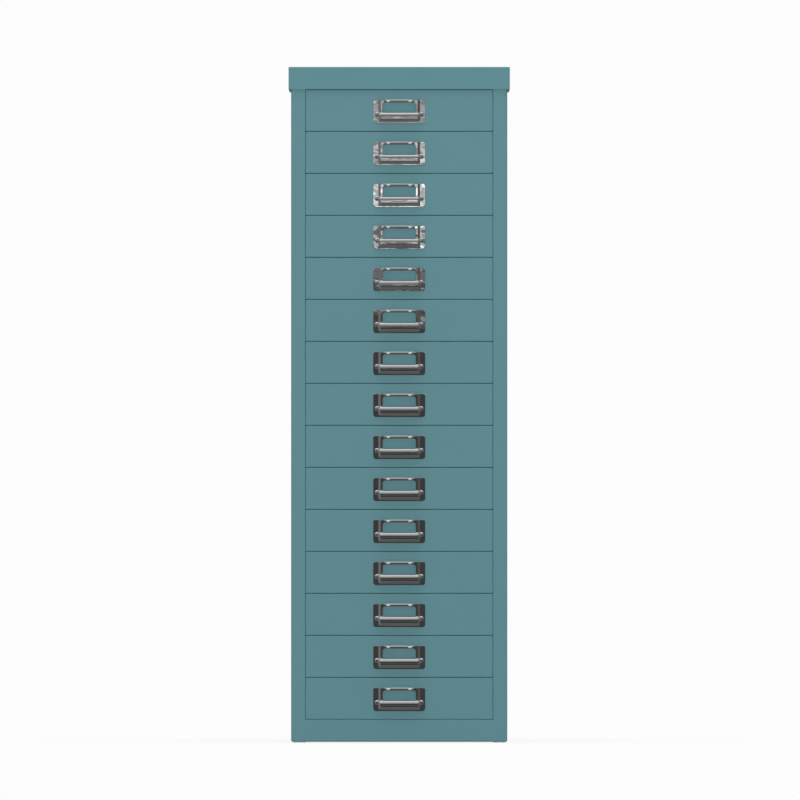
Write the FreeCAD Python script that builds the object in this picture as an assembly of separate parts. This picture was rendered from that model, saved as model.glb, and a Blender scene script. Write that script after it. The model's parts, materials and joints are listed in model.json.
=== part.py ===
import FreeCAD, Part
import math
import os

# Tall steel cabinet with one column of shallow drawers. Millimetres, +Z up, the drawers open towards -Y.
# The origin is on the floor, under the middle of the whole cabinet with its pulls.

Vector = FreeCAD.Vector
os.makedirs("parts", exist_ok=True)

# Whole cabinet
total_height = 860.0
cap_width = 281.6
cap_depth = 380.0
cap_height = 28.4
cap_front_proud = 3.0
body_width = 275.1
drawer_count = 15
drawer_pitch = 53.45

# Sheet steel
sheet = 0.8
cap_sheet = 1.0
tray_sheet = 0.6
body_bend = 2.4
cap_bend = 1.4
small_bend = 1.2
fit_gap = 0.3
hole_play = 0.05

# Frame
stile_width = 18.0
frame_return = 14.0
glide_height = 1.0
glide_radius = 7.5
glide_stem_radius = 2.5
glide_stem_height = 5.0
glide_inset = 10.5
upright_width = 20.0
front_upright_setback = 17.0
rear_upright_setback = 40.0

# Drawers
front_side_gap = 0.3
cap_gap = 0.25
front_gap = 0.5
front_depth = 12.9
front_bend = 1.0
front_lip = 12.0
tray_half_width = 111.3
tray_flange = 5.5
tray_floor_height = 4.0
tray_top_height = 46.0
tray_rear_gap = 8.0
drawer_travel = 285.0

# Runners
runner_web = 118.3
runner_lip_edge = 111.7
runner_inner_height = 6.0
runner_front_setback = 15.5
runner_play = 0.1
stop_tab_height = 3.8
stop_tab_width = 4.0
stop_drop = 3.2
rivet_radius = 1.6
rivet_head_radius = 2.6
rivet_head_height = 0.7
rivet_tail_radius = 2.3
rivet_tail_height = 1.2

# Pull with its card window
pull_width = 66.2
pull_height = 29.8
pull_drop = 1.3
pull_sheet = 0.9
pull_top_corner = 2.0
pull_bottom_corner = 3.4
pull_edge = 0.35
pull_flange = 6.7
pull_slope = 3.0
pull_rise = 2.0
pull_bottom_flange = 2.2
pull_bottom_slope = 3.0
window_width = 42.2
window_top_band = 3.6
window_bottom_drop = 4.7
window_corner = 3.4
window_low_corner = 1.0
bridge_half_length = 23.2
bridge_foot = 25.8
bridge_end = 31.2
bridge_tip = 2.9
bridge_drop = 3.95
bridge_height = 6.0
bridge_projection = 11.5
bridge_lip = 3.2
bridge_sheet = 1.0
bridge_bend = 3.0
lug_width = 5.0
lug_across = 27.6
lug_upper = 8.8
lug_lower = -10.7
lug_foot = 4.0
slot_play = 0.15

# Places that follow from these
y_pull_front = -(cap_depth + bridge_projection - cap_front_proud) / 2
y_front = y_pull_front + bridge_projection
y_cap_front = y_front - cap_front_proud
y_cap_back = y_cap_front + cap_depth
y_back = y_cap_back - cap_sheet - fit_gap
half_body = body_width / 2
half_opening = half_body - stile_width
half_front = half_opening - front_side_gap
z_base = glide_height
z_cap = total_height - cap_height
z_body_top = total_height - cap_sheet
z_cells = z_cap - cap_gap
z_rail_top = z_cells - drawer_count * drawer_pitch
z_floor_top = z_base + 2 * sheet
panel_edge = half_body - body_bend
y_tray_front = y_front + front_depth
y_tray_back = y_back - 2 * sheet - tray_rear_gap
y_runner_front = y_front + runner_front_setback
y_runner_back = y_tray_back + fit_gap + sheet
y_front_upright = y_front + front_upright_setback
y_rear_upright = y_back - rear_upright_setback
runner_outer = runner_web + sheet
tray_tip = tray_half_width + tray_flange
y_stop_tab = y_runner_front + sheet + fit_gap + drawer_travel


def box(x0, x1, y0, y1, z0, z1):
    """Block between two corners."""
    return Part.makeBox(x1 - x0, y1 - y0, z1 - z0, Vector(x0, y0, z0))


def mirrored(shape):
    """The same piece for the other side of the cabinet."""
    return shape.mirror(Vector(0, 0, 0), Vector(1, 0, 0))


def rounded(solid, radius, keep):
    """Round the solid's straight edges whose middle point passes the test keep."""
    edges = [edge for edge in solid.Edges if keep(edge.CenterOfMass)]
    return solid.makeFillet(radius, edges)


def near(value, target):
    """True where two lengths are the same."""
    return abs(value - target) < 0.01


def rounded_outline(points, radii, place):
    """Closed wire through 2D points, each corner cut by a tangent arc of its own radius."""
    edges = []
    starts = []
    ends = []
    middles = []
    count = len(points)
    for index in range(count):
        corner = Vector(points[index][0], points[index][1], 0)
        before = Vector(points[index - 1][0], points[index - 1][1], 0)
        after = Vector(points[(index + 1) % count][0], points[(index + 1) % count][1], 0)
        to_before = (before - corner).normalize()
        to_after = (after - corner).normalize()
        radius = radii[index]
        if radius == 0:
            starts.append(corner)
            ends.append(corner)
            middles.append(None)
            continue
        half_angle = to_before.getAngle(to_after) / 2
        cut = radius / math.tan(half_angle)
        inward = (to_before + to_after).normalize()
        centre = corner + inward * (radius / math.sin(half_angle))
        starts.append(corner + to_before * cut)
        ends.append(corner + to_after * cut)
        middles.append(centre - inward * radius)
    for index in range(count):
        if middles[index] is not None:
            arc = Part.Arc(place(starts[index]), place(middles[index]), place(ends[index]))
            edges.append(arc.toShape())
        following = (index + 1) % count
        if (starts[following] - ends[index]).Length > 1e-6:
            edges.append(Part.LineSegment(place(ends[index]), place(starts[following])).toShape())
    return Part.Wire(edges)


def place_on(axis, start):
    """Turns section coordinates into space: (y, z) along x, (x, z) along y, (x, y) along z."""
    if axis == "x":
        return lambda point: Vector(start, point.x, point.y)
    if axis == "y":
        return lambda point: Vector(point.x, start, point.y)
    return lambda point: Vector(point.x, point.y, start)


def along(axis, length):
    """Step of a length along one axis."""
    return {"x": Vector(length, 0, 0), "y": Vector(0, length, 0), "z": Vector(0, 0, length)}[axis]


def prism(points, radii, axis, start, length):
    """Solid with a rounded outline for its section, carried along one axis."""
    wire = rounded_outline(points, radii, place_on(axis, start))
    return Part.Face(wire).extrude(along(axis, length))


def folded_sheet(path, bend, thickness, axis, start, length):
    """Folded sheet. The path is its outer face, every fold turns left, and the metal lies on the left."""
    inner = []
    count = len(path)
    for index in range(count):
        here = Vector(path[index][0], path[index][1], 0)
        normals = []
        if index > 0:
            run = (here - Vector(path[index - 1][0], path[index - 1][1], 0)).normalize()
            normals.append(Vector(-run.y, run.x, 0))
        if index < count - 1:
            run = (Vector(path[index + 1][0], path[index + 1][1], 0) - here).normalize()
            normals.append(Vector(-run.y, run.x, 0))
        if len(normals) == 1:
            shift = normals[0] * thickness
        else:
            middle = (normals[0] + normals[1]).normalize()
            shift = middle * (thickness / middle.dot(normals[0]))
        inner.append((here.x + shift.x, here.y + shift.y))
    folds = [0] + [bend] * (count - 2) + [0]
    inner_folds = [0] + [bend - thickness] * (count - 2) + [0]
    points = list(path) + inner[::-1]
    return prism(points, folds + inner_folds, axis, start, length)


def shell(x0, x1, y0, y1, z0, z1, thickness, bend, keep):
    """Closed sheet box, its chosen edges bent to a radius and its wall even."""
    outer = rounded(box(x0, x1, y0, y1, z0, z1), bend, keep)
    wall = thickness
    inset = box(x0 + wall, x1 - wall, y0 + wall, y1 - wall, z0 + wall, z1 - wall)
    return outer.cut(rounded(inset, bend - wall, keep))


def side_panel():
    """Left side with its stile, rear, top and bottom flanges, all folded from one sheet."""
    x_outer = -half_body
    x_inner = -half_opening
    middle_x = (x_outer + x_inner) / 2

    def bent(point):
        upright_corner = point.x < middle_x and near(point.z, (z_base + z_body_top) / 2)
        end_fold = not near(point.z, (z_base + z_body_top) / 2) and point.x < x_inner - 2 * sheet
        return upright_corner or end_fold

    panel = shell(x_outer, x_inner, y_front, y_back, z_base, z_body_top, sheet, body_bend, bent)
    open_side = box(
        x_inner - sheet, x_inner, y_front + frame_return, y_back - sheet, z_base + sheet, z_body_top - sheet
    )
    panel = panel.cut(open_side)
    for y in glide_places():
        panel = panel.cut(glide_hole(x_outer + glide_inset, y))
    return panel


def glide_places():
    """How far back the front and rear glides are."""
    return (y_front + glide_inset, y_back - glide_inset)


def glide_hole(x, y):
    """Hole for a glide's stem, through both sheets of the base."""
    return Part.makeCylinder(glide_stem_radius + hole_play, 4 * sheet, Vector(x, y, z_base - sheet))


def rail(z0, z1):
    """Cross rail between the stiles, flush with their faces."""
    path = [(y_front + frame_return, z1), (y_front, z1), (y_front, z0), (y_front + frame_return, z0)]
    return folded_sheet(path, small_bend, sheet, "x", -half_opening, 2 * half_opening)


def bottom_rail():
    """Bottom rail, its lower edge folded under to the same radius as the sides."""
    section = [
        (y_front + frame_return, z_rail_top),
        (y_front, z_rail_top),
        (y_front, z_base),
        (y_front + frame_return, z_base),
        (y_front + frame_return, z_base + sheet),
        (y_front + sheet, z_base + sheet),
        (y_front + sheet, z_rail_top - sheet),
        (y_front + frame_return, z_rail_top - sheet),
    ]
    radii = [0, small_bend, body_bend, 0, 0, body_bend - sheet, small_bend - sheet, 0]
    return prism(section, radii, "x", -half_opening, 2 * half_opening)


def back_panel():
    """Flat sheet inside the rear flanges of the sides."""
    z0 = z_base + body_bend
    return box(-panel_edge, panel_edge, y_back - 2 * sheet, y_back - sheet, z0, z_body_top - body_bend)


def base_panel():
    """Floor of the cabinet, laid on the bottom flanges, with its side edges turned up."""
    z0 = z_base + sheet
    z1 = z0 + frame_return
    path = [(-panel_edge, z1), (-panel_edge, z0), (panel_edge, z0), (panel_edge, z1)]
    depth = y_back - sheet - body_bend - y_front - frame_return
    panel = folded_sheet(path, small_bend, sheet, "y", y_front + frame_return, depth)
    for side in (-1, 1):
        panel = panel.cut(glide_hole(side * (half_body - glide_inset), y_back - glide_inset))
    return panel


def top_cap():
    """Lid with a skirt all round, the skirt's lower edge turned in to meet the body."""
    half_cap = cap_width / 2
    middle_z = (z_cap + total_height) / 2

    def bent(point):
        return near(point.z, middle_z) or point.z > total_height - 2 * cap_sheet

    cap = shell(-half_cap, half_cap, y_cap_front, y_cap_back, z_cap, total_height, cap_sheet, cap_bend, bent)
    half_mouth = half_body + fit_gap
    mouth = box(
        -half_mouth, half_mouth, y_front - fit_gap, y_back + fit_gap, z_cap - cap_sheet, z_cap + 2 * cap_sheet
    )
    return cap.cut(mouth)


def upright(y_web, opens_back):
    """Left channel upright between the side panel and the runners."""
    x0 = -half_body + sheet
    x1 = -runner_outer
    z0 = z_floor_top + frame_return
    height = z_body_top - sheet - frame_return - z0
    path = [(x0, y_web + upright_width), (x0, y_web), (x1, y_web), (x1, y_web + upright_width)]
    channel = folded_sheet(path, small_bend, sheet, "z", z0, height)
    if not opens_back:
        channel = channel.mirror(Vector(0, y_web, 0), Vector(0, 1, 0))
    holes = [rivet_hole(y, z) for y, z in rivet_places() if abs(y - y_web) < upright_width]
    return channel.cut(Part.makeCompound(holes))


def runner_floor(number):
    """Height of the face that a drawer's flange slides on."""
    return cell_bottom(number) + tray_top_height - tray_sheet - runner_play


def cell_bottom(number):
    """Height of the lower edge of a drawer's space; number 1 is at the top."""
    return z_cells - number * drawer_pitch


def rivet_places():
    """Where the runners of one side are riveted, as (y, z)."""
    rows = (y_front_upright + upright_width * 0.6, y_rear_upright - upright_width * 0.6)
    return [
        (y, runner_floor(number) + runner_inner_height / 2)
        for number in range(1, drawer_count + 1)
        for y in rows
    ]


def rivet_hole(y, z):
    """Hole through a runner's web and the upright behind it."""
    start = Vector(-runner_outer - 2 * sheet, y, z)
    return Part.makeCylinder(rivet_radius + hole_play, 4 * sheet, start, Vector(1, 0, 0))


def runner(number):
    """Left channel of one drawer, with a front stop, a closed rear end and two rivet holes."""
    z0 = runner_floor(number) - sheet
    z1 = z0 + runner_inner_height + 2 * sheet
    path = [(-runner_lip_edge, z1), (-runner_outer, z1), (-runner_outer, z0), (-runner_lip_edge, z0)]
    length = y_runner_back - y_runner_front
    channel = folded_sheet(path, small_bend, sheet, "y", y_runner_front, length)
    x0 = -runner_web - sheet / 2
    x1 = -runner_lip_edge
    top = z1 - sheet / 2
    front_stop = box(x0, x1, y_runner_front, y_runner_front + sheet, z1 - sheet - stop_drop, top)
    rear_stop = box(x0, x1, y_runner_back - sheet, y_runner_back, z0 + sheet / 2, top)
    channel = channel.fuse([front_stop, rear_stop]).removeSplitter()
    holes = [rivet_hole(y, z) for y, z in rivet_places() if z0 < z < z1]
    return channel.cut(Part.makeCompound(holes))


def rivet(y, z):
    """Blind rivet through a runner and an upright, its low head inside the runner."""
    x_head = -runner_web
    x_tail = -runner_outer - sheet
    inward = Vector(1, 0, 0)
    shank = Part.makeCylinder(rivet_radius, x_head - x_tail, Vector(x_tail, y, z), inward)
    head = Part.makeCone(rivet_head_radius, rivet_radius, rivet_head_height, Vector(x_head, y, z), inward)
    x_end = x_tail - rivet_tail_height
    tail = Part.makeCylinder(rivet_tail_radius, rivet_tail_height, Vector(x_end, y, z), inward)
    return shank.fuse([head, tail]).removeSplitter()


def glide(x, y):
    """Nylon glide: a thin disc on the floor and a stem pushed into the base."""
    chamfer = glide_height / 2
    disc = Part.makeCylinder(glide_radius, glide_height, Vector(x, y, 0))
    floor_edge = [edge for edge in disc.Edges if near(edge.CenterOfMass.z, 0)]
    disc = disc.makeChamfer(chamfer, floor_edge)
    stem = Part.makeCylinder(glide_stem_radius, glide_stem_height, Vector(x, y, glide_height / 2))
    return disc.fuse(stem).removeSplitter()


def drawer_front(number):
    """Folded pan: face, four edges turned back and a lip all round for the tray."""
    z0 = cell_bottom(number) + front_gap / 2
    z1 = cell_bottom(number) + drawer_pitch - front_gap / 2
    y1 = y_front + front_depth
    middle = (y_front + y1) / 2

    def bent(point):
        return point.y < middle + 0.01

    pan = shell(-half_front, half_front, y_front, y1, z0, z1, sheet, front_bend, bent)
    half_mouth = half_front - front_lip
    pan = pan.cut(box(-half_mouth, half_mouth, y1 - sheet, y1, z0 + front_lip, z1 - front_lip))
    return pan.cut(Part.makeCompound(lug_blocks(pull_centre(number), slot_play, 2 * sheet)))


def pull_centre(number):
    """Height of the middle of a drawer's pull."""
    return cell_bottom(number) + drawer_pitch / 2 - pull_drop


def drawer_tray(number):
    """Open steel tray with flanges that ride in the runners, and a stop tab on each flange."""
    z0 = cell_bottom(number) + tray_floor_height
    z1 = cell_bottom(number) + tray_top_height
    wide = tray_half_width

    def bent(point):
        return point.z < z0 + 2 * tray_sheet or near(point.z, (z0 + z1 + tray_sheet) / 2)

    tray = shell(-wide, wide, y_tray_front, y_tray_back, z0, z1 + tray_sheet, tray_sheet, small_bend, bent)
    tray = tray.cut(box(-wide - 1, wide + 1, y_tray_front - 1, y_tray_back + 1, z1, z1 + 2 * tray_sheet))
    additions = []
    for side in (-1, 1):
        x_wall = side * (wide - tray_sheet)
        x_tip = side * tray_tip
        y0 = y_tray_front + small_bend
        y1 = y_tray_back - small_bend
        additions.append(box(min(x_wall, x_tip), max(x_wall, x_tip), y0, y1, z1 - tray_sheet, z1))
        x_tab = side * (tray_tip - stop_tab_width)
        tab_top = z1 - tray_sheet + stop_tab_height
        tab_back = y_stop_tab + tray_sheet
        additions.append(
            box(min(x_tab, x_tip), max(x_tab, x_tip), y_stop_tab, tab_back, z1 - tray_sheet / 2, tab_top)
        )
    return tray.fuse(additions).removeSplitter()


def lug_blocks(z_centre, play, depth):
    """Where the pull's four lugs pass through the drawer front."""
    blocks = []
    for side in (-1, 1):
        for height in (lug_upper, lug_lower):
            x_middle = side * (lug_across + pull_sheet / 2)
            half_thick = pull_sheet / 2 + play
            half_wide = lug_width / 2 + play
            z = z_centre + height
            blocks.append(
                box(
                    x_middle - half_thick, x_middle + half_thick, y_front - play, y_front + depth,
                    z - half_wide, z + half_wide
                )
            )
    return blocks


def raised_field(z_bottom, z_top, inset, rise):
    """Solid field of the card frame, open towards the top edge: wide at its root, narrow on its face."""
    root = pull_width / 2 - pull_flange - inset
    face = root - pull_slope
    z_root = z_bottom + pull_bottom_flange + inset
    z_face = z_root + pull_bottom_slope

    def ring(half, low, y):
        corners = [(-half, low), (half, low), (half, z_top), (-half, z_top), (-half, low)]
        return Part.makePolygon([Vector(x, y, z) for x, z in corners])

    return Part.makeLoft([ring(root, z_root, y_front), ring(face, z_face, y_front - rise)], True, True)


def drawer_pull(number):
    """Pressed pull: flat flange, raised card frame with its window, bridge to pull by, and four lugs."""
    z_centre = pull_centre(number)
    half_width = pull_width / 2
    z_top = z_centre + pull_height / 2
    z_bottom = z_centre - pull_height / 2
    corners = [(-half_width, z_bottom), (half_width, z_bottom), (half_width, z_top), (-half_width, z_top)]
    radii = [pull_bottom_corner, pull_bottom_corner, pull_top_corner, pull_top_corner]
    plate = prism(corners, radii, "y", y_front - pull_sheet, pull_sheet)
    plate = rounded(plate, pull_edge, lambda point: near(point.y, y_front - pull_sheet))
    frame = plate.fuse(raised_field(z_bottom, z_top, 0, pull_sheet + pull_rise))
    frame = frame.cut(raised_field(z_bottom, z_top, pull_sheet, pull_rise))
    half_window = window_width / 2
    z_low = z_centre - window_bottom_drop
    z_high = z_top - window_top_band
    opening = [(-half_window, z_low), (half_window, z_low), (half_window, z_high), (-half_window, z_high)]
    window_radii = [window_low_corner, window_low_corner, window_corner, window_corner]
    frame = frame.cut(prism(opening, window_radii, "y", y_front - 2 * pull_rise, 3 * pull_rise))
    lugs = lug_blocks(z_centre, 0, sheet + pull_sheet)
    for block in list(lugs):
        middle = block.CenterOfMass
        side = 1 if middle.x > 0 else -1
        x_near = side * (lug_across + pull_sheet)
        x_far = side * (lug_across - lug_foot)
        half_wide = lug_width / 2
        lugs.append(
            box(
                min(x_near, x_far), max(x_near, x_far), y_front + sheet, y_front + sheet + pull_sheet,
                middle.z - half_wide, middle.z + half_wide
            )
        )
    return frame.fuse([bridge(z_centre - bridge_drop)] + lugs).removeSplitter()


def bridge(z):
    """Curved strip that stands off the plate: upright at its lower edge, leaning back at its top."""
    y_grip = y_front - bridge_projection + bridge_lip
    foot = Vector(-bridge_foot, y_front - pull_sheet / 2, z)
    corner = Vector(-bridge_half_length, y_grip, z)
    grip_way = Vector(1, 0, 0)
    leg = (corner - foot).normalize()
    turn = leg.getAngle(grip_way)
    cut = bridge_bend * math.tan(turn / 2)
    arc_start = corner - leg * cut
    arc_end = corner + grip_way * cut
    towards_centre = (grip_way - leg).normalize()
    arc_middle = corner + towards_centre * (bridge_bend / math.cos(turn / 2) - bridge_bend)

    def across(point):
        return Vector(-point.x, point.y, point.z)

    path = Part.Wire([
        Part.LineSegment(foot, arc_start).toShape(),
        Part.Arc(arc_start, arc_middle, arc_end).toShape(),
        Part.LineSegment(arc_end, across(arc_end)).toShape(),
        Part.Arc(across(arc_end), across(arc_middle), across(arc_start)).toShape(),
        Part.LineSegment(across(arc_start), across(foot)).toShape(),
    ])
    outward = Vector(leg.y, -leg.x, 0)
    up = Vector(0, 0, 1)
    half = bridge_height / 2
    radius = (bridge_height ** 2 + bridge_lip ** 2) / (2 * bridge_lip)
    sweep = math.asin(bridge_height / radius)
    centre = foot - up * half + outward * (bridge_lip - radius)

    def on_arc(reach, angle):
        return centre + outward * reach * math.cos(angle) + up * reach * math.sin(angle)

    inner = radius - bridge_sheet
    section = Part.Wire([
        Part.Arc(on_arc(radius, 0), on_arc(radius, sweep / 2), on_arc(radius, sweep)).toShape(),
        Part.LineSegment(on_arc(radius, sweep), on_arc(inner, sweep)).toShape(),
        Part.Arc(on_arc(inner, sweep), on_arc(inner, sweep / 2), on_arc(inner, 0)).toShape(),
        Part.LineSegment(on_arc(inner, 0), on_arc(radius, 0)).toShape(),
    ])
    strip = path.makePipeShell([section], True, False)
    behind = y_front - pull_sheet / 3
    in_front = box(-pull_width, pull_width, y_grip - bridge_projection, behind, z - half, z + half)
    left_foot = bridge_left_foot(z)
    return strip.common(in_front).fuse([left_foot, mirrored(left_foot)])


def bridge_left_foot(z):
    """Flat end of the bridge on the plate's flange, with a round tip and a softened edge."""
    half = bridge_height / 2
    y_face = y_front - pull_sheet - bridge_sheet
    corners = [
        (-bridge_end, z - half), (-bridge_foot, z - half), (-bridge_foot, z + half), (-bridge_end, z + half)
    ]
    pad = prism(corners, [bridge_tip, 0, 0, bridge_tip], "y", y_face, pull_sheet / 2 + bridge_sheet)

    def outer_edge(point):
        return near(point.y, y_face) and not near(point.x, -bridge_foot)

    return rounded(pad, bridge_sheet / 2, outer_edge)


def save(name, shape):
    """Write one piece and say whether it is sound."""
    shape.exportStep("parts/" + name + ".step")
    solids = len(shape.Solids)
    print(f"{name}: {solids} solid(s), volume {shape.Volume:.0f}, valid {shape.isValid()}")


def build_carcass():
    """The fixed pieces."""
    left = side_panel()
    save("left_side_panel", left)
    save("right_side_panel", mirrored(left))
    save("back_panel", back_panel())
    save("base_panel", base_panel())
    save("bottom_rail", bottom_rail())
    save("top_rail", rail(z_cap + fit_gap, z_body_top - sheet))
    save("top_cap", top_cap())
    front = upright(y_front_upright, True)
    rear = upright(y_rear_upright, False)
    save("left_front_upright", front)
    save("right_front_upright", mirrored(front))
    save("left_rear_upright", rear)
    save("right_rear_upright", mirrored(rear))
    runners = Part.makeCompound([runner(number) for number in range(1, drawer_count + 1)])
    save("left_runners", runners)
    save("right_runners", mirrored(runners))
    rivets = [rivet(y, z) for y, z in rivet_places()]
    save("runner_rivets", Part.makeCompound(rivets + [mirrored(one) for one in rivets]))
    glides = [glide(side * (half_body - glide_inset), y) for side in (-1, 1) for y in glide_places()]
    save("corner_glides", Part.makeCompound(glides))


def build_drawers():
    """Three pieces for each drawer, from the top down."""
    for number in range(1, drawer_count + 1):
        save(f"drawer_{number:02d}_tray", drawer_tray(number))
        save(f"drawer_{number:02d}_front", drawer_front(number))
        save(f"drawer_{number:02d}_pull", drawer_pull(number))


build_carcass()
build_drawers()
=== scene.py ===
import json
import math

import bpy
import numpy as np
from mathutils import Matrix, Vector

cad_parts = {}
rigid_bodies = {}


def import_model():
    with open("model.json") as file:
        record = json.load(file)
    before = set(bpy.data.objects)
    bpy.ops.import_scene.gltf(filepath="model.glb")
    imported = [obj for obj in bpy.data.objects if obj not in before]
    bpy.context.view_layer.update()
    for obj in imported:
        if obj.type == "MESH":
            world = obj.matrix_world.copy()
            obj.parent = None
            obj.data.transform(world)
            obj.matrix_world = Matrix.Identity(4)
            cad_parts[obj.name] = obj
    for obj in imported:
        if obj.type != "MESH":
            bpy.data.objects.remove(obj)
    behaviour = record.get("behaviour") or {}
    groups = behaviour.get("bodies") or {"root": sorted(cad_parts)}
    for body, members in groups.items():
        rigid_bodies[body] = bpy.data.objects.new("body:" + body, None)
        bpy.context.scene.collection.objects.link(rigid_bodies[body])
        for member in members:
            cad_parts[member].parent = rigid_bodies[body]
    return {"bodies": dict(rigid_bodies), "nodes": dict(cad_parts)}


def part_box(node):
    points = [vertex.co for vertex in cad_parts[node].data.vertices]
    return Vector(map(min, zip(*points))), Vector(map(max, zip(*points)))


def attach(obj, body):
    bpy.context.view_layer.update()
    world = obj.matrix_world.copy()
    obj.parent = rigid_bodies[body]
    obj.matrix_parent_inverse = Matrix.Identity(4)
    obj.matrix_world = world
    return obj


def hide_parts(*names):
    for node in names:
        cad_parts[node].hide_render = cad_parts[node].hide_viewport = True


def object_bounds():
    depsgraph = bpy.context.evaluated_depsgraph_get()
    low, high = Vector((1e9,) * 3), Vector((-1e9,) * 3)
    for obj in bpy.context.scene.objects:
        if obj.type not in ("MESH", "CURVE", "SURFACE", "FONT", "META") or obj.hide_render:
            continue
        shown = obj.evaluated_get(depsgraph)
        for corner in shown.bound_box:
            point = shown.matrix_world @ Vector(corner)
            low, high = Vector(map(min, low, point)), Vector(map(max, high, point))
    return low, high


# Looks of a tall steel cabinet with shallow drawers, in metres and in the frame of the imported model

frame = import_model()
cad_low, cad_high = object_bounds()

MM = 0.001
DRAWERS = sorted(body for body in frame["bodies"] if body.startswith("drawer"))
FRONT_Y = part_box(DRAWERS[0] + "_front")[0].y
PULL_LOW, PULL_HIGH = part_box(DRAWERS[0] + "_pull")
PLATE_HALF_WIDTH = (PULL_HIGH.x - PULL_LOW.x) / 2
PLATE_HALF_HEIGHT = (PULL_HIGH.z - PULL_LOW.z) / 2
PROJECTION = FRONT_Y - PULL_LOW.y
GLIDE_HEIGHT = 1.0 * MM

# Paint, metal and nylon, as linear colours
TEAL = (0.107, 0.251, 0.2815, 1.0)
CHROME = (0.80, 0.80, 0.81, 1.0)
ZINC = (0.55, 0.56, 0.58, 1.0)
NYLON = (0.74, 0.73, 0.69, 1.0)
COAT_IOR = 1.5

# The pull's pressing: a raised field, and slopes that fall from it to a flat flange
PLATE_SHEET = 0.9 * MM
PLATE_RIM = 0.3 * MM
RIM_SQUARENESS = 2 / 3
FRAME_RISE = 2.0 * MM
FLANGE_WIDTH = 6.7 * MM
SLOPE_WIDTH = 3.0 * MM
LOWER_FLANGE = 2.2 * MM
LOWER_SLOPE = 3.0 * MM
FOLD_SOFTNESS = 0.22
MITRE_POWER = 8
TOP_CORNER = 2.0 * MM
LOWER_CORNER = 3.4 * MM
FIELD_CORNER = 1.2 * MM
FIELD_TOP_GAP = 1.0 * MM
SLOPE_CORNER = 1.6 * MM
SLOPE_TOP_GAP = 0.65 * MM

# Its card window
WINDOW_HALF = 21.1 * MM
WINDOW_TOP_BAND = 3.6 * MM
WINDOW_DROP = 4.7 * MM
WINDOW_CORNER = 3.4 * MM
WINDOW_LOW_CORNER = 1.0 * MM

# The bead along the band above the window, its middle and its reach as shares of the band
BEAD_HALF = 17.0 * MM
BEAD_END = 3.0 * MM
BEAD_RISE = 0.62 * MM
BEAD_MIDDLE = 0.48
BEAD_REACH = 0.46

# The raised facet near each end of the bead, its ramp as a share of the band
FACET_PLACE = 13.8 * MM
FACET_HALF = 2.5 * MM
FACET_RISE = 1.5 * MM
FACET_STEEPNESS = 1.6
FACET_TOP_GAP = 0.4 * MM
FACET_RAMP = 0.66

# The pull's bridge
GRIP_HALF = 23.9 * MM
GRIP_BEND = 1.5 * MM
GRIP_DROP = 3.95 * MM
GRIP_HEIGHT = 6.0 * MM
GRIP_LIP = 3.2 * MM
GRIP_LAND = 1.1 * MM
GRIP_SHEET = 1.0 * MM
FOOT_HALF = 25.5 * MM
FOOT_BEND = 1.0 * MM
FOOT_END = 31.2 * MM
FOOT_TIP = 2.9 * MM
FOOT_TIP_SHARE = 0.985
FOOT_DOME = 1.1 * MM

# Counts of points along the pressing's outlines and round its rims
ACROSS_POINTS = 60
UPRIGHT_POINTS = 14
CORNER_POINTS = 7
RIM_POINTS = 7

# Places of the pressing's rings, as shares of the way across its field, its slope and its flange, and the
# step over which its slopes are measured
FIELD_RINGS = (0, 0.17, 0.34, 0.5, 0.66, 0.82, 0.92)
SLOPE_RINGS = (0, 0.1, 0.2, 0.35, 0.5, 0.65, 0.8, 0.9)
FLANGE_RINGS = (0, 0.05, 0.1, 0.17, 0.3, 0.5, 0.75, 0.9, 1.0)
SLOPE_PROBE = 0.02 * MM

# Counts of points round the bridge's section and along its path. Those on the land stop at a share of it,
# so that the arc begins with its own.
FACE_POINTS = 22
LAND_POINTS = 5
LAND_SHARE = 0.8
EDGE_POINTS = 6
STRETCH_POINTS = 12
BEND_POINTS = 10
MIDDLE_POINTS = 6

# Noise on a sheet, as scale, detail and roughness: clouds in its colour and smears in its gloss
CLOUDS = (9.0, 3.0, 0.6)
SMEARS = (28.0, 4.0, 0.65)
SMEAR_RANGE = (0.3, 0.7)
PEEL_DETAIL = 0.6
PEEL_ROUGHNESS = 0.5

# The camera: its distance, how far it sees, its sensor in millimetres, and its aim, in pixels of the photo
# to the right of the body's middle and above it
CAMERA_DISTANCE = 36.0
CAMERA_REACH = 200.0
SENSOR_WIDTH = 36.0
PHOTO_PIXELS = 800
BODY_PIXELS = 675
AIM_RIGHT = 0.8
AIM_UP = 4.4

# The floor, which is pale near the cabinet and plain from a distance on
FLOOR_HALF = 14.0
FLOOR_WHITE = (0.93, 0.93, 0.93, 1.0)
FLOOR_ROUGHNESS = 0.9
FLOOR_SPECULAR = 0.1
FLOOR_GLOW = 0.58
PLAIN_FROM = 0.25
PLAIN_TO = 1.1
PLAIN_SHARE_NEAR = 0.85
PLAIN_LEVEL = 0.98

# The light that reaches matt pieces from all round
DOME_LEVEL = 0.26

# What bright metal sees ahead of the cabinet and beside it, as (degrees above the horizon, level), the two
# values of a direction's Y between which the view ahead takes over, and the levels that multiply both views
AHEAD = (
    (-90, 0.05), (-77, 0.07), (-70, 0.26), (-62, 0.26), (-52, 0.08), (-10, 0.05), (6, 0.05),
    (12, 0.11), (30, 0.11), (44, 0.18), (50, 1.3), (60, 1.6), (80, 1.5), (90, 0.6),
)
BESIDE = ((-90, 0.05), (-60, 0.15), (-20, 0.12), (10, 0.14), (34, 0.18), (50, 0.8), (90, 0.7))
AHEAD_FROM = -0.6
AHEAD_FULL = -0.85
LEFT_LEVEL = 1.3
RIGHT_LEVEL = 0.7

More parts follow.
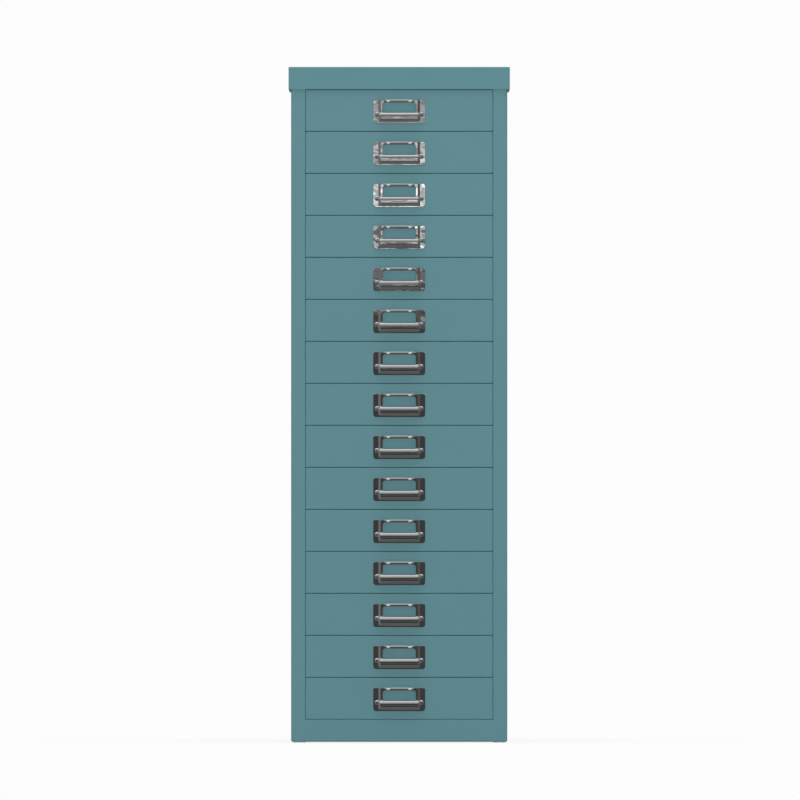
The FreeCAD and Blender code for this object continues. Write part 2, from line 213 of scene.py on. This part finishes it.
# The light card: its place, and its level over its height, as (height in metres, level)
CARD_HALF = 1.5
CARD_AHEAD = 2.0
CARD = (
    (0.46, 0.05), (0.53, 0.055), (0.552, 0.12), (0.572, 0.04), (0.588, 0.45), (0.604, 0.04),
    (0.62, 0.2), (0.635, 0.08), (0.65, 0.75), (0.665, 0.15), (0.687, 1.5), (0.712, 0.3),
    (0.732, 0.95), (0.755, 0.2), (0.78, 0.75), (0.80, 0.18), (0.83, 0.45), (0.86, 0.3),
    (0.95, 0.45), (1.05, 0.15),
)

# Each sun's name, energy, width in degrees and direction of travel
SUNS = (
    ("front_light", 1.655, 20, (0.05, 1.0, -0.06)),
    ("top_light", 2.7, 80, (0, 0, -1)),
)


def make_piece(name, vertices, faces, material, smooth=True):
    """Mesh object at the origin, with its place in its vertices."""
    mesh = bpy.data.meshes.new(name)
    mesh.from_pydata([tuple(v) for v in vertices.tolist()], [], faces)
    mesh.validate()
    if smooth:
        mesh.shade_smooth()
    else:
        mesh.shade_flat()
    mesh.materials.append(material)
    piece = bpy.data.objects.new(name, mesh)
    bpy.context.scene.collection.objects.link(piece)
    return piece


def make_quad(name, corners, material):
    """Flat sheet with four corners."""
    return make_piece(name, np.array(corners, float), [[0, 1, 2, 3]], material, smooth=False)


def grid_faces(rows, columns, wrap_rows, wrap_columns, first=0):
    """Quads of a grid of points, joined round where it is wrapped. The point in row a and column b has
    the number a times the count of columns, plus b."""
    row = np.arange(rows if wrap_rows else rows - 1)
    column = np.arange(columns if wrap_columns else columns - 1)
    a, b = (values.ravel() for values in np.meshgrid(row, column, indexing="ij"))
    next_a, next_b = (a + 1) % rows, (b + 1) % columns
    corners = ((a, b), (a, next_b), (next_a, next_b), (next_a, b))
    return (np.stack([r * columns + c for r, c in corners], axis=1) + first).tolist()


def eased(share):
    """Smooth step from 0 to 1: three times the square less twice the cube."""
    return share * share * (3 - 2 * share)


def rounded_outline(half_width, low, high, low_radius, high_radius):
    """Closed rounded rectangle in (u, v), anticlockwise from its lower left corner. A corner is its
    centre plus its radius times the cosine and the sine of a quarter turn, and a side is spaced evenly
    between two corners. The counts are fixed, so outlines match point by point."""
    corners = (
        (-half_width + low_radius, low + low_radius, low_radius, 180),
        (half_width - low_radius, low + low_radius, low_radius, 270),
        (half_width - high_radius, high - high_radius, high_radius, 0),
        (-half_width + high_radius, high - high_radius, high_radius, 90),
    )
    arcs = []
    for u, v, radius, start in corners:
        turn = np.radians(start + np.linspace(0, 90, CORNER_POINTS))
        arcs.append(np.stack([u + radius * np.cos(turn), v + radius * np.sin(turn)], axis=1))
    outline = []
    for arc, next_arc, count in zip(arcs, arcs[1:] + arcs[:1], (ACROSS_POINTS, UPRIGHT_POINTS) * 2):
        share = np.linspace(0, 1, count + 2)[1:-1, None]
        outline += [arc, arc[-1] + (next_arc[0] - arc[-1]) * share]
    return np.concatenate(outline)


def outline_normals(outline):
    """Unit vectors that point out of a closed outline that runs anticlockwise: the line from the point
    before to the point after, turned a quarter clockwise."""
    tangent = np.roll(outline, -1, axis=0) - np.roll(outline, 1, axis=0)
    normal = np.stack([tangent[:, 1], -tangent[:, 0]], axis=1)
    return normal / np.linalg.norm(normal, axis=1, keepdims=True)


def press_step(q):
    """Height of a folded step, 1 before q = 0 and 0 after q = 1: straight between, and a parabola over
    each fold, which reaches the softness to each side of its corner."""
    r = FOLD_SOFTNESS
    fall = np.clip(q, 0, 1)
    first = np.where(np.abs(q) < r, (q + r) ** 2 / (4 * r), fall)
    last = np.where(np.abs(q - 1) < r, 1 - (1 + r - q) ** 2 / (4 * r), first)
    return 1 - last


def field_height(u, v):
    """Rise of the pressing's field at (u, v): the folded step of the way down the slopes. Where a side
    slope meets the lower one, their ways are joined by the eighth root of the sum of their eighth powers,
    a mitre."""
    r = FOLD_SOFTNESS
    field_half = PLATE_HALF_WIDTH - FLANGE_WIDTH - SLOPE_WIDTH
    field_low = -PLATE_HALF_HEIGHT + LOWER_FLANGE + LOWER_SLOPE
    beside = np.maximum((np.abs(u) - field_half) / SLOPE_WIDTH + r, 0)
    below = np.maximum((field_low - v) / LOWER_SLOPE + r, 0)
    q = (beside ** MITRE_POWER + below ** MITRE_POWER) ** (1 / MITRE_POWER) - r
    return FRAME_RISE * press_step(q)


def band_height(u, v):
    """Rise of the band above the window at (u, v). The bead is a parabola across, eased down at its ends.
    A facet takes its place where a clipped parabola along u is 1, and climbs evenly from the band's top
    edge."""
    middle = PLATE_HALF_HEIGHT - WINDOW_TOP_BAND * BEAD_MIDDLE
    across = np.clip(1 - ((v - middle) / (WINDOW_TOP_BAND * BEAD_REACH)) ** 2, 0, 1)
    ends = eased(np.clip((BEAD_HALF + BEAD_END - np.abs(u)) / BEAD_END, 0, 1))
    along = 1 - ((np.abs(u) - FACET_PLACE) / FACET_HALF) ** 2
    facet = np.where(v > 0, np.clip(FACET_STEEPNESS * along, 0, 1), 0)
    ramp = np.clip((PLATE_HALF_HEIGHT - FACET_TOP_GAP - v) / (FACET_RAMP * WINDOW_TOP_BAND), 0, 1)
    return BEAD_RISE * across * ends * (1 - facet) + FACET_RISE * ramp * facet


def frame_height(u, v):
    """Height of the pressing's middle surface over the drawer's front, at (u, v) from the plate's centre:
    half the sheet, plus the field and the band."""
    return PLATE_SHEET / 2 + field_height(u, v) + band_height(u, v)


def frame_slopes(u, v):
    """Slopes of the middle surface along u and v: the difference over a short step to each side."""
    d = SLOPE_PROBE
    slope_u = (frame_height(u + d, v) - frame_height(u - d, v)) / (2 * d)
    slope_v = (frame_height(u, v + d) - frame_height(u, v - d)) / (2 * d)
    return slope_u, slope_v


def pressing_outlines():
    """The window's edge, the field's edge, the flange's inner edge and the plate's edge, as rounded
    rectangles. The first and the last stay inside their rims."""
    inset = PLATE_RIM
    top, low = PLATE_HALF_HEIGHT, -PLATE_HALF_HEIGHT
    window_low, window_top = -WINDOW_DROP - inset, top - WINDOW_TOP_BAND + inset
    slope_half, slope_low = PLATE_HALF_WIDTH - FLANGE_WIDTH, low + LOWER_FLANGE
    field_half, field_low = slope_half - SLOPE_WIDTH, slope_low + LOWER_SLOPE
    plate_half = PLATE_HALF_WIDTH - inset
    return [
        rounded_outline(WINDOW_HALF + inset, window_low, window_top, WINDOW_LOW_CORNER, WINDOW_CORNER),
        rounded_outline(field_half, field_low, top - FIELD_TOP_GAP, FIELD_CORNER, FIELD_CORNER),
        rounded_outline(slope_half, slope_low, top - SLOPE_TOP_GAP, SLOPE_CORNER, SLOPE_CORNER),
        rounded_outline(plate_half, low + inset, top - inset, LOWER_CORNER, TOP_CORNER),
    ]


def pressing_points():
    """The card frame as one closed skin: rings from the window's edge out to the plate's edge on the
    front, round the rim, back under the sheet and round the window's rim. Each point is the middle
    surface at (u, v) moved half the sheet's thickness along the surface's normal. Round a rim, the reach
    and the side follow a squared circle: powers of the sine and the cosine of half a turn."""
    outlines = pressing_outlines()
    rings = np.array([
        inner + (outer - inner) * share
        for inner, outer, shares in zip(outlines, outlines[1:], (FIELD_RINGS, SLOPE_RINGS, FLANGE_RINGS))
        for share in shares
    ])
    turn = np.linspace(0, math.pi, RIM_POINTS)[1:-1]
    reach = np.sin(turn)[:, None, None] ** RIM_SQUARENESS * PLATE_RIM
    level = np.sign(np.cos(turn)) * np.abs(np.cos(turn)) ** RIM_SQUARENESS
    plate_edge, window_edge = outlines[-1], outlines[0]
    plate_rim = plate_edge + outline_normals(plate_edge) * reach
    window_rim = window_edge - outline_normals(window_edge) * reach[::-1]
    u, v = np.moveaxis(np.concatenate([rings, plate_rim, rings[::-1], window_rim]), -1, 0)
    plate_edges = np.broadcast_to(plate_edge, plate_rim.shape)
    window_edges = np.broadcast_to(window_edge, window_rim.shape)
    edge_u, edge_v = np.moveaxis(np.concatenate([rings, plate_edges, rings[::-1], window_edges]), -1, 0)
    front = np.ones(len(rings))
    side = np.concatenate([front, level, -front, -level])[:, None]
    slope_u, slope_v = frame_slopes(edge_u, edge_v)
    offset = side * PLATE_SHEET / 2 / np.sqrt(1 + slope_u ** 2 + slope_v ** 2)
    height = frame_height(edge_u, edge_v)
    return np.stack([u - slope_u * offset, v - slope_v * offset, height + offset], axis=-1)


def arc_radius(height, bulge):
    """Radius of the arc that falls back by a bulge over a height: the sum of their squares over twice the
    bulge."""
    return (height ** 2 + bulge ** 2) / (2 * bulge)


def grip_face():
    """Face of the grip's section as rows of bulge, v and lean. It is upright over a flat land at its
    lower edge, and then leans back along an arc."""
    height = GRIP_HEIGHT - GRIP_LAND
    radius = arc_radius(height, GRIP_LIP)
    land = GRIP_LAND * np.linspace(0, LAND_SHARE, LAND_POINTS)
    lean = np.linspace(0, math.asin(height / radius), FACE_POINTS - LAND_POINTS)
    bulge = np.concatenate([np.full(LAND_POINTS, GRIP_LIP), GRIP_LIP - radius + radius * np.cos(lean)])
    v = np.concatenate([land, GRIP_LAND + radius * np.sin(lean)]) - GRIP_HEIGHT / 2
    return np.stack([bulge, v, np.concatenate([np.zeros(LAND_POINTS), lean])], axis=1)


def foot_face():
    """Face of a foot's section as rows of bulge, v and lean: one arc, the same up and down."""
    radius = arc_radius(GRIP_HEIGHT / 2, FOOT_DOME)
    sweep = math.asin(GRIP_HEIGHT / 2 / radius)
    lean = np.linspace(-sweep, sweep, FACE_POINTS)
    return np.stack([FOOT_DOME - radius + radius * np.cos(lean), radius * np.sin(lean), lean], axis=1)


def strip_section(face):
    """Closed section of a strip as (bulge, v): its face, its back one sheet behind along the normal,
    which is the cosine and the sine of the lean, and half a circle round each edge."""
    points, lean = face[:, :2], face[:, 2]
    normal = np.stack([np.cos(lean), np.sin(lean)], axis=1)
    upward = np.stack([-np.sin(lean), np.cos(lean)], axis=1)
    back = (points - normal * GRIP_SHEET)[::-2]
    middle = points - normal * GRIP_SHEET / 2
    bend = np.linspace(0, math.pi, EDGE_POINTS)[1:-1, None]
    upper = middle[-1] + (np.cos(bend) * normal[-1] + np.sin(bend) * upward[-1]) * GRIP_SHEET / 2
    lower = middle[0] + (np.cos(bend) * normal[0] - np.sin(bend) * upward[0]) * GRIP_SHEET / 2
    return np.concatenate([points, upper, back, lower[::-1]])


def with_heading(points, heading):
    """Rows of u, w and heading."""
    return np.column_stack([points, np.broadcast_to(heading, len(points))])


def rounded_path(corners, radii):
    """Open path in (u, w) with rounded corners, as rows of u, w and heading. A straight stretch is spaced
    evenly. A bend starts its radius times the tangent of half its turn before the corner, and moves by
    its radius times the changes of the heading's sine and cosine."""
    corners = np.array(corners)
    begin = corners[0]
    path = []
    for corner, after, radius in zip(corners[1:-1], corners[2:], radii):
        way_in = (corner - begin) / np.linalg.norm(corner - begin)
        way_out = (after - corner) / np.linalg.norm(after - corner)
        heading = math.atan2(way_in[1], way_in[0])
        turn = math.atan2(way_out[1], way_out[0]) - heading
        cut = radius * math.tan(abs(turn) / 2)
        stop = corner - way_in * cut
        share = np.linspace(0, 1, STRETCH_POINTS)[:-1, None]
        path.append(with_heading(begin + (stop - begin) * share, heading))
        angle = np.linspace(heading, heading + turn, BEND_POINTS)[:-1]
        change = np.stack([np.sin(angle) - math.sin(heading), math.cos(heading) - np.cos(angle)], axis=1)
        path.append(with_heading(stop + change * radius * math.copysign(1, turn), angle))
        begin = corner + way_out * cut
    share = np.linspace(0, 1, MIDDLE_POINTS)[:, None]
    path.append(with_heading(begin + (corners[-1] - begin) * share, heading + turn))
    return np.concatenate(path)


def bridge_points():
    """The strip carried along its middle line: flat on the plate, up a steep leg, straight across and
    down again. On the grip its lower edge is upright and furthest out and its top leans back, and towards
    a foot it is eased into a shallow dome. A point is the middle line moved by the section's bulge along
    the line's normal, and by v. At a foot's tip both shrink by the root of one less the square of the way
    to the end."""
    foot_w = PLATE_SHEET
    grip_w = PROJECTION - GRIP_LIP
    corners = [(-FOOT_END, foot_w), (-FOOT_HALF, foot_w), (-GRIP_HALF, grip_w), (0, grip_w)]
    left = rounded_path(corners, (FOOT_BEND, GRIP_BEND))
    right = left[-2::-1] * np.array([-1, 1, -1])
    u, w, heading = np.concatenate([left, right]).T[:, :, None]
    part = eased(np.clip((w - foot_w) / (grip_w - foot_w), 0, 1))
    grip, foot = strip_section(grip_face()), strip_section(foot_face())
    bulge = grip[:, 0] * part + foot[:, 0] * (1 - part)
    v = grip[:, 1] * part + foot[:, 1] * (1 - part)
    past = np.clip((np.abs(u) - FOOT_END + FOOT_TIP) / FOOT_TIP, 0, FOOT_TIP_SHARE)
    narrow = np.sqrt(1 - past ** 2)
    points_u = u - np.sin(heading) * bulge * narrow
    points_w = w + np.cos(heading) * bulge * narrow
    return np.stack([points_u, v * narrow - GRIP_DROP, points_w], axis=-1)


def pull_mesh():
    """Points and faces of a pull: u, v and the height over the drawer's front, from the plate's
    centre."""
    plate = pressing_points()
    bridge = bridge_points()
    rows, columns = plate.shape[:2]
    stations, loop = bridge.shape[:2]
    first = rows * columns
    last = first + (stations - 1) * loop
    faces = grid_faces(rows, columns, True, True) + grid_faces(stations, loop, False, True, first)
    faces.append(list(range(first, first + loop)))
    faces.append(list(range(last, last + loop))[::-1])
    return np.concatenate([plate.reshape(-1, 3), bridge.reshape(-1, 3)]), faces


def grey(level):
    """Grey of a level, which is linear."""
    return (level, level, level, 1)


def set_inputs(tree, node, inputs):
    """Links an input where an output is given for it, and sets a constant otherwise."""
    for socket, value in inputs.items():
        if isinstance(value, bpy.types.NodeSocket):
            tree.links.new(value, node.inputs[socket])
        else:
            node.inputs[socket].default_value = value


def add_node(tree, kind, inputs, **settings):
    """Shader node. Its settings come first, because they decide which sockets it has."""
    node = tree.nodes.new(kind)
    for name, setting in settings.items():
        setattr(node, name, setting)
    set_inputs(tree, node, inputs)
    return node


def new_material(name):
    """Material with the usual nodes, and its tree."""
    material = bpy.data.materials.new(name)
    material.use_nodes = True
    return material, material.node_tree


def noise(tree, scale, detail, roughness):
    """Noise on the piece's own coordinates."""
    where = tree.nodes.new("ShaderNodeTexCoord").outputs["Object"]
    inputs = {"Vector": where, "Scale": scale, "Detail": detail, "Roughness": roughness}
    return add_node(tree, "ShaderNodeTexNoise", inputs).outputs["Fac"]


def map_range(tree, inputs, **settings):
    """A value spread from one range over another, each 0 to 1 where it isn't given."""
    return add_node(tree, "ShaderNodeMapRange", inputs, **settings).outputs["Result"]


def grey_ramp(tree, factor, stops):
    """Grey that follows a factor through stops, each (place from 0 to 1, level)."""
    node = add_node(tree, "ShaderNodeValToRGB", {"Fac": factor})
    elements = node.color_ramp.elements
    elements.remove(elements[0])
    elements[0].position, elements[0].color = stops[0][0], grey(stops[0][1])
    for place, level in stops[1:]:
        elements.new(place).color = grey(level)
    return node.outputs["Color"]


def make_sheet_surface():
    """Fine surface of a coated or plated sheet: mottled colour, uneven roughness and a shallow peel."""
    group = bpy.data.node_groups.new("sheet_surface", "ShaderNodeTree")
    for label, kind, way in (
        ("Colour", "NodeSocketColor", "INPUT"),
        ("Mottle", "NodeSocketFloat", "INPUT"),
        ("Roughness low", "NodeSocketFloat", "INPUT"),
        ("Roughness high", "NodeSocketFloat", "INPUT"),
        ("Peel size", "NodeSocketFloat", "INPUT"),
        ("Peel depth", "NodeSocketFloat", "INPUT"),
        ("Colour", "NodeSocketColor", "OUTPUT"),
        ("Roughness", "NodeSocketFloat", "OUTPUT"),
        ("Normal", "NodeSocketVector", "OUTPUT"),
    ):
        group.interface.new_socket(name=label, in_out=way, socket_type=kind)
    given = group.nodes.new("NodeGroupInput").outputs
    cloud = map_range(group, {"Value": noise(group, *CLOUDS), "To Min": -1.0, "To Max": 1.0})
    change = add_node(group, "ShaderNodeMath", {0: cloud, 1: given["Mottle"]}, operation="MULTIPLY")
    share = add_node(group, "ShaderNodeMath", {0: change.outputs["Value"], 1: 1.0}, operation="ADD")
    colour = {"Vector": given["Colour"], "Scale": share.outputs["Value"]}
    shade = add_node(group, "ShaderNodeVectorMath", colour, operation="SCALE")
    roughness = map_range(group, {
        "Value": noise(group, *SMEARS),
        "From Min": SMEAR_RANGE[0],
        "From Max": SMEAR_RANGE[1],
        "To Min": given["Roughness low"],
        "To Max": given["Roughness high"],
    })
    peel = noise(group, given["Peel size"], PEEL_DETAIL, PEEL_ROUGHNESS)
    bump = add_node(group, "ShaderNodeBump", {"Height": peel, "Distance": given["Peel depth"]})
    set_inputs(group, group.nodes.new("NodeGroupOutput"), {
        "Colour": shade.outputs["Vector"],
        "Roughness": roughness,
        "Normal": bump.outputs["Normal"],
    })
    return group


SHEET_SURFACE = make_sheet_surface()


def sheet_material(name, colour, metallic, mottle, roughness, peel_size, peel_depth):
    """Principled material whose colour, roughness and bump come from the shared surface."""
    material, tree = new_material(name)
    surface = add_node(tree, "ShaderNodeGroup", {
        "Colour": colour,
        "Mottle": mottle,
        "Roughness low": roughness[0],
        "Roughness high": roughness[1],
        "Peel size": peel_size,
        "Peel depth": peel_depth,
    }, node_tree=SHEET_SURFACE)
    set_inputs(tree, tree.nodes["Principled BSDF"], {
        "Metallic": metallic,
        "IOR": COAT_IOR,
        "Base Color": surface.outputs["Colour"],
        "Roughness": surface.outputs["Roughness"],
        "Normal": surface.outputs["Normal"],
    })
    return material


def powder_coat():
    """Teal satin powder coat with a fine orange peel."""
    return sheet_material(
        "teal_powder_coat", TEAL, metallic=0.0, mottle=0.012, roughness=(0.36, 0.46),
        peel_size=750.0, peel_depth=0.012 * MM)


def bright_chrome():
    """Polished plating, with faint polishing haze and the soft waves of pressed sheet."""
    return sheet_material(
        "bright_chrome", CHROME, metallic=1.0, mottle=0.02, roughness=(0.02, 0.045),
        peel_size=62.0, peel_depth=0.24 * MM)


def zinc_plate():
    """Dull zinc on the runners and rivets."""
    return sheet_material(
        "zinc_plate", ZINC, metallic=1.0, mottle=0.10, roughness=(0.32, 0.48),
        peel_size=300.0, peel_depth=0.01 * MM)


def natural_nylon():
    """Moulded nylon of the glides."""
    return sheet_material(
        "natural_nylon", NYLON, metallic=0.0, mottle=0.05, roughness=(0.45, 0.6),
        peel_size=900.0, peel_depth=0.02 * MM)


def dress_cad_nodes(paint, zinc, nylon):
    """The CAD pieces keep their shape and get their finish."""
    finish = {"left_runners": zinc, "right_runners": zinc, "runner_rivets": zinc, "corner_glides": nylon}
    for name, node in frame["nodes"].items():
        node.data.materials.clear()
        node.data.materials.append(finish.get(name, paint))


def make_pulls(chrome):
    """One chromed pressing for each drawer: u runs along X, v along Z, and the height towards -Y."""
    points, faces = pull_mesh()
    for drawer in DRAWERS:
        node = drawer + "_pull"
        low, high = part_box(node)
        centre_z = (low.z + high.z) / 2
        vertices = np.stack([points[:, 0], FRONT_Y - points[:, 2], centre_z + points[:, 1]], axis=1)
        piece = make_piece(drawer + "_pull_pressing", vertices, faces, chrome)
        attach(piece, drawer)
        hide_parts(node)


def make_camera():
    """Level camera straight in front, with a very long lens, because the photo shows no underside of the
    cap. A pixel of the photo is the body's height over its count of pixels."""
    pixel = (cad_high.z - GLIDE_HEIGHT) / BODY_PIXELS
    middle_z = (cad_high.z + GLIDE_HEIGHT) / 2
    camera = bpy.data.cameras.new("camera")
    camera.sensor_width = SENSOR_WIDTH
    camera.lens = SENSOR_WIDTH * CAMERA_DISTANCE / (PHOTO_PIXELS * pixel)
    camera.clip_end = CAMERA_REACH
    eye = bpy.data.objects.new("camera", camera)
    bpy.context.scene.collection.objects.link(eye)
    eye.location = (AIM_RIGHT * pixel, FRONT_Y - CAMERA_DISTANCE, middle_z + AIM_UP * pixel)
    eye.rotation_euler = (math.pi / 2, 0, 0)
    bpy.context.scene.camera = eye


def make_floor():
    """Wide pale floor that fades into the plain background away from the cabinet."""
    half = FLOOR_HALF
    corners = [(-half, -half, 0), (half, -half, 0), (half, half, 0), (-half, half, 0)]
    material, tree = new_material("pale_floor")
    shader = tree.nodes["Principled BSDF"]
    set_inputs(tree, shader, {
        "Base Color": FLOOR_WHITE,
        "Roughness": FLOOR_ROUGHNESS,
        "Specular IOR Level": FLOOR_SPECULAR,
    })
    where = tree.nodes.new("ShaderNodeTexCoord").outputs["Object"]
    distance = add_node(tree, "ShaderNodeVectorMath", {0: where}, operation="LENGTH")
    plainness = map_range(tree, {
        "Value": distance.outputs["Value"],
        "From Min": PLAIN_FROM,
        "From Max": PLAIN_TO,
        "To Min": PLAIN_SHARE_NEAR,
    }, interpolation_type="SMOOTHSTEP")
    seen = tree.nodes.new("ShaderNodeLightPath").outputs["Is Camera Ray"]
    strength = map_range(tree, {"Value": seen, "To Min": FLOOR_GLOW, "To Max": PLAIN_LEVEL})
    plain = add_node(tree, "ShaderNodeEmission", {"Color": grey(1), "Strength": strength})
    mix = add_node(tree, "ShaderNodeMixShader", {
        "Fac": plainness,
        1: shader.outputs["BSDF"],
        2: plain.outputs["Emission"],
    })
    set_inputs(tree, tree.nodes["Material Output"], {"Surface": mix.outputs["Shader"]})
    floor = make_quad("floor", corners, material)
    floor.visible_glossy = False


def make_card():
    """Tall light card in front of the cabinet that only bright metal sees: it lights the upper pulls. Its
    level follows its height."""
    low, high = CARD[0][0], CARD[-1][0]
    half, y = CARD_HALF, FRONT_Y - CARD_AHEAD
    corners = [(-half, y, low), (-half, y, high), (half, y, high), (half, y, low)]
    material, tree = new_material("card")
    tree.nodes.remove(tree.nodes["Principled BSDF"])
    where = tree.nodes.new("ShaderNodeTexCoord").outputs["Object"]
    height = add_node(tree, "ShaderNodeSeparateXYZ", {"Vector": where}).outputs["Z"]
    share = map_range(tree, {"Value": height, "From Min": low, "From Max": high})
    stops = [((z - low) / (high - low), level) for z, level in CARD]
    glow = add_node(tree, "ShaderNodeEmission", {"Color": grey_ramp(tree, share, stops)})
    set_inputs(tree, tree.nodes["Material Output"], {"Surface": glow.outputs["Emission"]})
    card = make_quad("light_card", corners, material)
    card.visible_camera = False
    card.visible_diffuse = False
    card.visible_transmission = False
    card.visible_shadow = False


def sky_stops(stops):
    """Stops over the sine of the height in the sky, from 0 at the lowest point to 1 at the highest."""
    return [((math.sin(math.radians(degrees)) + 1) / 2, level) for degrees, level in stops]


def background(tree, colour, strength=1.0):
    """Light of one colour from all round."""
    node = add_node(tree, "ShaderNodeBackground", {"Color": colour, "Strength": strength})
    return node.outputs["Background"]


def make_studio(tree):
    """Dark studio that bright metal sees: a ramp of levels ahead and one beside, brighter on the left."""
    where = tree.nodes.new("ShaderNodeTexCoord").outputs["Generated"]
    way = add_node(tree, "ShaderNodeSeparateXYZ", {"Vector": where}).outputs
    height = map_range(tree, {"Value": way["Z"], "From Min": -1.0})
    ahead = map_range(
        tree, {"Value": way["Y"], "From Min": AHEAD_FROM, "From Max": AHEAD_FULL},
        interpolation_type="SMOOTHSTEP")
    strength = map_range(
        tree, {"Value": way["X"], "From Min": -1.0, "To Min": LEFT_LEVEL, "To Max": RIGHT_LEVEL})
    mix = add_node(tree, "ShaderNodeMix", {
        "Factor": ahead,
        "A": grey_ramp(tree, height, sky_stops(BESIDE)),
        "B": grey_ramp(tree, height, sky_stops(AHEAD)),
    }, data_type="RGBA")
    return background(tree, mix.outputs["Result"], strength)


def make_world():
    """Plain pale room for the camera, a soft dome for matt pieces, and a studio for what the metal
    reflects."""
    world = bpy.data.worlds.new("studio")
    bpy.context.scene.world = world
    world.use_nodes = True
    tree = world.node_tree
    tree.nodes.clear()
    path = tree.nodes.new("ShaderNodeLightPath").outputs
    lit = add_node(tree, "ShaderNodeMixShader", {
        "Fac": path["Is Glossy Ray"],
        1: background(tree, grey(DOME_LEVEL)),
        2: make_studio(tree),
    })
    shown = add_node(tree, "ShaderNodeMixShader", {
        "Fac": path["Is Camera Ray"],
        1: lit.outputs["Shader"],
        2: background(tree, grey(PLAIN_LEVEL)),
    })
    add_node(tree, "ShaderNodeOutputWorld", {"Surface": shown.outputs["Shader"]})


def make_sun(name, energy, degrees, travel):
    """Broad soft light that travels along a direction and doesn't show in the metal."""
    light = bpy.data.lights.new(name, "SUN")
    light.energy = energy
    light.angle = math.radians(degrees)
    lamp = bpy.data.objects.new(name, light)
    bpy.context.scene.collection.objects.link(lamp)
    lamp.rotation_euler = Vector(travel).to_track_quat("-Z", "Y").to_euler()
    lamp.visible_glossy = False


dress_cad_nodes(powder_coat(), zinc_plate(), natural_nylon())
make_pulls(bright_chrome())
make_camera()
make_floor()
make_card()
make_world()
for sun in SUNS:
    make_sun(*sun)
bpy.context.scene.view_settings.view_transform = "Standard"
